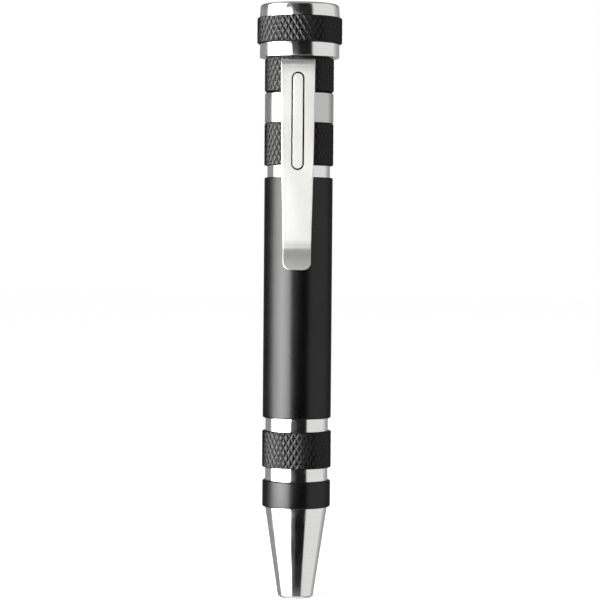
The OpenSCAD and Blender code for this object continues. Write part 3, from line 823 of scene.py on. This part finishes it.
def oval_bar(width, length, lean, foot, rise):
    """Bar with an oval outline, square to the leaning strip, from a depth below its face to a height above
    it."""
    deselect()
    bpy.ops.mesh.primitive_cylinder_add(vertices=48, radius=width / 2, depth=rise + foot)
    bar = bpy.context.object
    edit(bar)
    bpy.ops.transform.translate(value=(0, 0, (rise - foot) / 2))
    for side in (-1, 1):
        pick("verts", lambda vertex: vertex.co.y * side > SAME)
        bpy.ops.transform.translate(value=(0, side * (length - width) / 2, 0))
    deselect()
    bar.rotation_euler.x = math.pi / 2 + lean
    return bar


def press_oval(clip):
    """Presses a line into the clip's face and raises the oval within it. Gives the oval's middle."""
    own = sizes()
    bend, _, lean, _, _ = clip_path()
    face = bend + (own.clip_bend + own.clip_thickness) * Vector((-math.cos(lean), -math.sin(lean)))
    oval_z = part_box("pocket_clip")[1].z - own.oval_drop
    oval = Vector((0, face.x + (face.y - oval_z) * math.tan(lean), oval_z))
    line = 2 * own.oval_line
    groove = oval_bar(own.oval_width + line, own.oval_length + line, lean, own.oval_line_depth, MM)
    groove.location = oval
    combine(clip, groove, "DIFFERENCE")
    pad = oval_bar(own.oval_width, own.oval_length, lean, own.clip_thickness / 2, own.oval_rise)
    round_edges(pad, own.oval_rise / 4)
    pad.location = oval
    combine(clip, pad, "UNION")
    return oval


def paint_shade_in_line(clip, oval):
    """Gives the faces of the line round the oval their painted shade, a near black colour."""
    own = sizes()
    lean = clip_path()[2]
    slack = 0.01 * MM
    reach = own.oval_width / 2 + own.oval_line + slack
    # Faces nearer than this to the strip's own face belong to it
    least, most = 3 * slack, own.oval_line_depth + slack

    def in_line(face):
        offset = face.calc_center_median() - oval
        past_straight = max(0, abs(offset.dot(slope(lean))) - (own.oval_length - own.oval_width) / 2)
        depth = offset.y * math.cos(lean) + offset.z * math.sin(lean)
        return math.hypot(offset.x, past_straight) < reach and least < depth < most

    # A second material holds the painted shade of the line
    clip.data.materials.append(painted_line_shade())
    edit(clip)
    pick("faces", in_line)
    clip.active_material_index = 1
    bpy.ops.object.material_slot_assign()
    deselect()


class SCREWDRIVER_OT_clip(bpy.types.Operator):
    """Bends the spring clip from a strip and presses the raised oval into it"""

    bl_idname = "screwdriver.clip"
    bl_label = "Pocket clip"

    def execute(self, context):
        own = sizes()
        clip = clip_strip()
        edit(clip)
        pick("edges", is_tip_corner)
        bpy.ops.mesh.bevel(offset=own.clip_corner, segments=8, affect="EDGES")
        pick("edges", is_front_edge)
        bpy.ops.mesh.bevel(offset=own.clip_front_edge, segments=4, affect="EDGES")
        deselect()
        round_edges(clip, own.clip_back_edge)
        oval = press_oval(clip)
        finish_piece(clip, "clip", "pocket_clip", satin_nickel())
        apply_modifier(clip, "WEIGHTED_NORMAL", keep_sharp=True)
        # The line round the oval is coloured with painted shade
        paint_shade_in_line(clip, oval)
        return {"FINISHED"}


def channel_cutter(node):
    """Cutter for the channel of one bit: its hexagonal seat, and a mouth whose lips hold the bit."""
    own = sizes()
    low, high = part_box(node)
    place = (low + high) / 2
    out = Vector((place.x, place.y, 0)).normalized()
    angle = bearing(out)
    length = high.z - low.z + 2 * own.channel_gap
    mouth_depth, mouth_width = own.bit_size, own.bit_size * 0.9
    deselect()
    bpy.ops.mesh.primitive_cylinder_add(
        vertices=6, radius=hex_radius(own.bit_size + 2 * own.channel_gap), depth=length, location=place,
        rotation=(0, 0, angle + math.pi / 2)
    )
    seat = bpy.context.object
    combine(seat, block((mouth_depth, mouth_width, length), place + out * mouth_depth / 2, angle), "UNION")
    return seat


class SCREWDRIVER_OT_carrier(bpy.types.Operator):
    """Moulds the bit carrier with its six channels, its seal groove and its flange"""

    bl_idname = "screwdriver.carrier"
    bl_label = "Bit carrier"

    def execute(self, context):
        own = sizes()
        low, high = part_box("bit_carrier")
        seal_low, seal_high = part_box("head_seal")
        flange_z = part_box("core_tube")[1].z
        bore = inner_radius("core_tube")
        wall = bore - own.carrier_gap
        groove_low, groove_high = seal_low.z - own.seat_gap, seal_high.z + own.seat_gap
        seat = seal_high.x - own.seal_section - own.seat_gap
        carrier = turned([
            (0, low.z, 0), (wall, low.z, own.ring_edge), (wall, groove_low, own.broken_edge),
            (seat, groove_low, 0), (seat, groove_high, 0), (wall, groove_high, own.broken_edge),
            (wall, flange_z, 0), (high.x, flange_z, own.broken_edge), (high.x, high.z, own.broken_edge),
            (0, high.z, 0),
        ], SMALL_STEPS)
        for node in BITS:
            combine(carrier, channel_cutter(node), "DIFFERENCE")
        thread_hole = round_bar(own.pivot_thread / 2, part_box("carrier_pivot")[0].z, high.z + MM)
        combine(carrier, thread_hole, "DIFFERENCE")
        round_edges(carrier, own.carrier_edge, angle=50, segments=2)
        finish_piece(carrier, "carrier", "bit_carrier", moulded_plastic())
        return {"FINISHED"}


def slotted_point(width, length):
    """Blade of a slotted bit: it narrows to a fifth of its width in thickness."""
    blade = block((width, width, length), (0, 0, length / 2))
    bpy.ops.object.transform_apply()
    edit(blade)
    pick("verts", lambda vertex: vertex.co.z < length / 2)
    bpy.ops.transform.resize(value=(0.2, 1, 1))
    deselect()
    combine(blade, round_bar(width / 2, -length, length * 2), "INTERSECT")
    return blade


def cross_point(width, length):
    """Point of a cross bit: four wings that run down to a blunt cone."""
    wing, blunt, core = width * 0.3, width * 0.1, width * 0.104
    wings = block((width * 2, wing, length), (0, 0, length / 2))
    combine(wings, block((wing, width * 2, length), (0, 0, length / 2)), "UNION")
    combine(wings, cone(core, width / 2, 0, length), "UNION")
    combine(wings, cone(blunt, width / 2, 0, length), "INTERSECT")
    return wings


def star_point(width, length):
    """Point of a star bit: six lobes with hollows between them."""
    lobes, steps_per_lobe = 6, 8
    step_angle = TURN / lobes / steps_per_lobe
    mean_share, lobe_share, edge = 0.42, 0.07, 0.05 * MM
    deselect()
    bpy.ops.mesh.primitive_cylinder_add(
        vertices=lobes * steps_per_lobe, radius=1, depth=length, location=(0, 0, length / 2)
    )
    star = bpy.context.object
    bpy.ops.object.transform_apply()
    edit(star)
    for step in range(steps_per_lobe):
        radius = width * (mean_share + lobe_share * math.cos(TURN * step / steps_per_lobe))
        pick("verts", lambda vertex: round(bearing(vertex.co) / step_angle - step) % steps_per_lobe == 0)
        bpy.ops.transform.resize(value=(radius, radius, 1))
    deselect()
    round_edges(star, edge, angle=60, segments=2)
    return star


# Width of each bit's shaft in millimetres, and what shapes its point
BITS = {
    "bit_slotted_2": (2.0, slotted_point), "bit_slotted_3": (3.0, slotted_point),
    "bit_cross_00": (2.0, cross_point), "bit_cross_0": (2.6, cross_point),
    "bit_star_6": (1.8, star_point), "bit_star_8": (2.5, star_point),
}


def bit_blank(width, bit_length):
    """A bit that has no point yet: its round shaft, taper and hex shank, upright about the axis."""
    own = sizes()
    corner = hex_radius(own.bit_size)
    shank_z = bit_length - own.shank_length
    taper_z = shank_z - own.bit_taper
    blank = turned([
        (0, taper_z, 0), (width / 2, taper_z, 0), (own.bit_size / 2, shank_z, 0),
        (corner, shank_z + own.bit_edge, 0), (corner, bit_length - own.bit_edge, 0),
        (corner - own.bit_edge, bit_length, own.broken_edge), (0, bit_length, 0),
    ], SMALL_STEPS)
    shaft = turned([
        (0, own.bit_point, 0), (width / 2, own.bit_point, own.broken_edge),
        (width / 2, shank_z, 0), (0, shank_z, 0),
    ], TINY_STEPS)
    combine(blank, hex_prism(own.bit_size, taper_z - MM, bit_length + MM), "INTERSECT")
    combine(blank, shaft, "UNION")
    return blank


class SCREWDRIVER_OT_bits(bpy.types.Operator):
    """Makes the six bits: hex shank, taper, round shaft and ground point"""

    bl_idname = "screwdriver.bits"
    bl_label = "Bits"

    def execute(self, context):
        own = sizes()
        material = tool_steel()
        for node, (width_mm, point) in BITS.items():
            low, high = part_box(node)
            width = width_mm * MM
            bit = bit_blank(width, high.z - low.z)
            combine(bit, point(width, own.bit_point + own.broken_edge), "UNION")
            place = (low + high) / 2
            edit(bit)
            bpy.ops.transform.rotate(
                value=-bearing(place) - math.pi / 2, orient_axis="Z", center_override=(0, 0, 0)
            )
            bpy.ops.transform.translate(value=(place.x, place.y, low.z))
            finish_piece(bit, node.replace("bit_", "") + "_bit", node, material)
        return {"FINISHED"}


class SCREWDRIVER_OT_seal(bpy.types.Operator):
    """Moulds the sealing ring, a little flattened where the tube presses on it"""

    bl_idname = "screwdriver.seal"
    bl_label = "Sealing ring"

    def execute(self, context):
        own = sizes()
        low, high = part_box("head_seal")
        section = own.seal_section / 2
        centre = Vector((high.x - section, (low.z + high.z) / 2))
        flattened = 0.02 * MM
        flat = high.x - flattened
        steps = 24
        outline = []
        for step in range(steps + 1):
            angle = TURN * step / steps
            radius = min(flat, centre.x + section * math.cos(angle))
            outline.append((radius, centre.y + section * math.sin(angle), 0))
        seal = turned(outline, SMALL_STEPS)
        finish_piece(seal, "seal", "head_seal", seal_rubber())
        return {"FINISHED"}


def head_core():
    """Turns the head's core: its silver band, the hub, and the web that turns on the pivot."""
    own = sizes()
    low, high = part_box("head_core")
    knurl_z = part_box("head_grip")[0].z
    web_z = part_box("bit_carrier")[1].z + own.running_gap
    hub, hub_bore, recess = inner_radius("head_grip"), own.hub_bore / 2, own.head_recess / 2
    pivot_hole = own.pivot_shoulder / 2 + own.seat_gap
    core = turned([
        (recess, low.z, own.broken_edge), (high.x - own.band_edge, low.z, 0),
        (high.x, low.z + own.band_edge, 0), (high.x, knurl_z, own.broken_edge),
        (hub, knurl_z, 0), (hub, high.z, 0), (hub_bore, high.z, 0), (hub_bore, web_z + own.web, 0),
        (pivot_hole, web_z + own.web, 0), (pivot_hole, web_z, 0), (recess, web_z, 0),
        (recess, low.z, 0),
    ], own.lathe_steps)
    finish_piece(core, "head_band", "head_core", turned_aluminium())


def head_cap():
    """Turns the cap: its spigot, and the top that narrows a little towards its rounded edge."""
    own = sizes()
    low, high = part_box("head_cap")
    seat_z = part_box("head_core")[1].z
    spigot, top = own.hub_bore / 2, high.x - own.cap_taper / 2
    cap = turned([
        (0, low.z, 0), (spigot, low.z, 0), (spigot, seat_z, 0),
        (high.x, seat_z, own.broken_edge), (top, high.z, own.cap_round), (0, high.z, 0),
    ], own.lathe_steps)
    finish_piece(cap, "cap", "head_cap", turned_aluminium())


def pivot_screw():
    """Turns the shouldered screw on which the head turns, with a hex drive in its head."""
    own = sizes()
    low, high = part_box("carrier_pivot")
    flange_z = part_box("bit_carrier")[1].z
    head_z = high.z - own.pivot_head
    thread, shoulder = own.pivot_thread / 2, own.pivot_shoulder / 2
    pivot = turned([
        (0, low.z, 0), (thread, low.z, own.broken_edge), (thread, flange_z, 0),
        (shoulder, flange_z, 0), (shoulder, head_z, 0), (high.x, head_z, own.broken_edge),
        (high.x, high.z, own.broken_edge * 3), (0, high.z, 0),
    ], SMALL_STEPS)
    drive_depth = own.pivot_head * 0.6
    drive = hex_prism(own.pivot_thread, high.z - drive_depth, high.z + MM)
    combine(pivot, drive, "DIFFERENCE")
    finish_piece(pivot, "pivot", "carrier_pivot", tool_steel())


class SCREWDRIVER_OT_head(bpy.types.Operator):
    """Turns the head's core with its silver band, the top cap, and the pivot on which the head turns"""

    bl_idname = "screwdriver.head"
    bl_label = "Head and pivot"

    def execute(self, context):
        head_core()
        head_cap()
        pivot_screw()
        return {"FINISHED"}


# Studio

class SCREWDRIVER_OT_stage(bpy.types.Operator):
    """Sets the floor, the softbox, the cards that the metal mirrors, the world and the camera"""

    bl_idname = "screwdriver.stage"
    bl_label = "Studio and camera"

    def execute(self, context):
        world()
        floor()
        card("dark_flag", -4, 37.5, 0.006)
        card("shaded_flag", -24, -4, 0.06)
        card("camera_side_reflector", -14, 4, 0.75, low=0.05, high=0.12, radius=0.41)
        card("grey_card_right", 37.5, 118, 0.8)
        card("grey_card_side_right", 118, 132, 0.55)
        card("grey_card_back_right", 132, 180, 0.36, high=0.2)
        card("grey_card_left", -180, -104, 0.3, high=0.2)
        card("back_card_top", 132, 256, 0.2, low=0.2)
        card("white_card_low", -104, -24, 3.5, high=-0.1)
        card("softbox_back", -104, -88, 2.5, low=-0.1, high=0.2)
        card("softbox_inner_back", -88, -66, 9.0, low=-0.1, high=0.2)
        card("softbox_middle", -66, -42, 13.5, low=-0.1, high=0.2)
        card("softbox_front", -42, -24, 10.5, low=-0.1, high=0.2)
        card("softbox_top_back", -104, -66, 6.0, low=0.2)
        card("softbox_top_middle", -66, -42, 2.5, low=0.2)
        card("softbox_top_front", -42, -24, 0.2, low=0.2)
        softbox()
        camera()
        return {"FINISHED"}


# The photograph was taken from a little to the right of the clip
VIEW_TURN = math.radians(1.6)


def toward(azimuth, distance, z=0.0):
    """The point at a distance from the axis, at degrees to the right of the camera's side."""
    angle = math.radians(azimuth) + VIEW_TURN
    return Vector((math.sin(angle) * distance, -math.cos(angle) * distance, z))


def world():
    """A white surround for the camera, a soft fill for matt surfaces, and for the metal a dim room over a
    lit floor."""
    surround = bpy.context.scene.world or bpy.data.worlds.new("World")
    bpy.context.scene.world = surround
    surround.use_nodes = True
    surround.node_tree.nodes.clear()
    fill, room_light, floor_light = 0.55, 0.3, 0.9
    # A ray's direction along Z where it sees the floor's full light, and where it begins to see it
    steep, shallow = -0.9, -0.65
    rays = add_node(surround, "ShaderNodeLightPath")
    place = add_node(surround, "ShaderNodeTexCoord").outputs["Generated"]
    height = add_node(surround, "ShaderNodeSeparateXYZ", {"Vector": place}).outputs["Z"]
    room = add_node(surround, "ShaderNodeMapRange", {
        "Value": height, "From Min": steep, "From Max": shallow, "To Min": floor_light, "To Max": room_light
    }).outputs["Result"]
    strength = fill
    for ray, seen in (("Is Glossy Ray", room), ("Is Transmission Ray", 1.0), ("Is Camera Ray", 1.0)):
        strength = add_node(surround, "ShaderNodeMapRange", {
            "Value": rays.outputs[ray], "To Min": strength, "To Max": seen
        }).outputs["Result"]
    light = add_node(surround, "ShaderNodeBackground", {"Color": (1, 1, 1, 1), "Strength": strength})
    add_node(surround, "ShaderNodeOutputWorld", {"Surface": light.outputs["Background"]})


def floor():
    """A white floor at the nose tip. It lifts its own brightness for the camera, and keeps the shadow."""
    deselect()
    bpy.ops.mesh.primitive_plane_add(size=6)
    plane = bpy.context.object
    plane.name = "floor"
    white = linear("#F4F4F4")
    lift = 0.51
    material = empty_material("White studio floor", white)
    rays = add_node(material, "ShaderNodeLightPath")
    glow = add_node(
        material, "ShaderNodeMath", {0: rays.outputs["Is Camera Ray"], 1: lift}, operation="MULTIPLY"
    )
    shader = add_node(material, "ShaderNodeBsdfPrincipled", {
        "Base Color": (*white, 1), "Roughness": 0.9, "Emission Color": (1, 1, 1, 1),
        "Emission Strength": glow.outputs[0],
    })
    add_node(material, "ShaderNodeOutputMaterial", {"Surface": shader.outputs["BSDF"]})
    plane.data.materials.append(material)
    plane.visible_glossy = False


def card(name, start, end, brightness, low=-0.3, high=0.6, radius=0.42):
    """A curved card round the object, seen only in reflections, between two angles to the right of the
    camera's side and two heights. A dark one is a flag that gives the bright metal its black stripe."""
    sheet = single_point(toward(start, radius, low))
    bpy.ops.mesh.extrude_vertices_move(TRANSFORM_OT_translate={"value": (0, 0, high - low)})
    bpy.ops.mesh.select_all(action="SELECT")
    bpy.ops.mesh.spin(steps=24, angle=math.radians(end - start), center=(0, 0, 0), axis=(0, 0, -1))
    deselect()
    sheet.name = name
    material = empty_material(f"Studio card {name}", (1, 1, 1))
    glow = add_node(material, "ShaderNodeEmission", {"Color": (1, 1, 1, 1), "Strength": brightness})
    add_node(material, "ShaderNodeOutputMaterial", {"Surface": glow.outputs["Emission"]})
    material.cycles.emission_sampling = "NONE"
    sheet.data.materials.append(material)
    sheet.visible_camera = False
    sheet.visible_diffuse = False
    sheet.visible_transmission = False
    sheet.visible_shadow = False


def softbox():
    """The main light on matt surfaces: a wide softbox on the left. The metal mirrors the softbox cards."""
    azimuth, distance = -60, 0.4
    width, height = 0.36, 0.44
    radiance = 6.0
    place = toward(azimuth, distance, 0.17)
    bpy.ops.object.light_add(type="AREA", location=place)
    lamp = bpy.context.object
    lamp.name = "softbox"
    lamp.data.shape = "RECTANGLE"
    lamp.data.size, lamp.data.size_y = width, height
    lamp.data.energy = radiance * math.pi * width * height
    aim = Vector((0, 0, 0.06))
    lamp.rotation_euler = (aim - place).to_track_quat("-Z", "Y").to_euler()
    lamp.visible_camera = False
    lamp.visible_glossy = False


def camera():
    """The camera at the photograph's view: a little above the middle, with a slight pitch and roll."""
    focal_px, frame_px, sensor_mm = 2362.4, 600, 36
    pitch, roll = 1.2755, 0.466
    bpy.ops.object.camera_add()
    view = bpy.context.object
    aside, distance, height = 0.48 * MM, 479 * MM, 71 * MM
    place = Matrix.Translation((aside, -distance, height))
    tilt = Matrix.Rotation(math.radians(90 - pitch), 4, "X") @ Matrix.Rotation(math.radians(roll), 4, "Z")
    view.matrix_world = Matrix.Rotation(VIEW_TURN, 4, "Z") @ place @ tilt
    view.data.sensor_width = sensor_mm
    view.data.lens = sensor_mm * focal_px / frame_px
    bpy.context.scene.camera = view
    bpy.context.scene.view_settings.view_transform = "Standard"


# Panel and registration

STEPS = [
    SCREWDRIVER_OT_nose, SCREWDRIVER_OT_tube, SCREWDRIVER_OT_smooth_rings, SCREWDRIVER_OT_knurled_rings,
    SCREWDRIVER_OT_clip, SCREWDRIVER_OT_carrier, SCREWDRIVER_OT_bits, SCREWDRIVER_OT_seal,
    SCREWDRIVER_OT_head, SCREWDRIVER_OT_stage,
]


class SCREWDRIVER_PT_steps(bpy.types.Panel):
    """Lists the steps that build the screwdriver, and the sizes and colours that they read"""

    bl_idname = "SCREWDRIVER_PT_steps"
    bl_label = "Pocket Screwdriver"
    bl_space_type = "VIEW_3D"
    bl_region_type = "UI"
    bl_category = "Screwdriver"

    def draw(self, context):
        for step in STEPS:
            self.layout.operator(step.bl_idname)
        for group in (sizes(), colours()):
            box = self.layout.box()
            for name in type(group).__annotations__:
                box.prop(group, name)


CLASSES = [ScrewdriverSizes, ScrewdriverColours, *STEPS, SCREWDRIVER_PT_steps]


def register():
    for cls in CLASSES:
        bpy.utils.register_class(cls)
    bpy.types.Scene.screwdriver_sizes = PointerProperty(type=ScrewdriverSizes)
    bpy.types.Scene.screwdriver_colours = PointerProperty(type=ScrewdriverColours)


def unregister():
    del bpy.types.Scene.screwdriver_colours
    del bpy.types.Scene.screwdriver_sizes
    for cls in reversed(CLASSES):
        bpy.utils.unregister_class(cls)


def main():
    register()
    bpy.ops.screwdriver.nose()
    bpy.ops.screwdriver.tube()
    bpy.ops.screwdriver.smooth_rings()
    bpy.ops.screwdriver.knurled_rings()
    bpy.ops.screwdriver.clip()
    bpy.ops.screwdriver.carrier()
    bpy.ops.screwdriver.bits()
    bpy.ops.screwdriver.seal()
    bpy.ops.screwdriver.head()
    bpy.ops.screwdriver.stage()


if __name__ == "__main__":
    main()
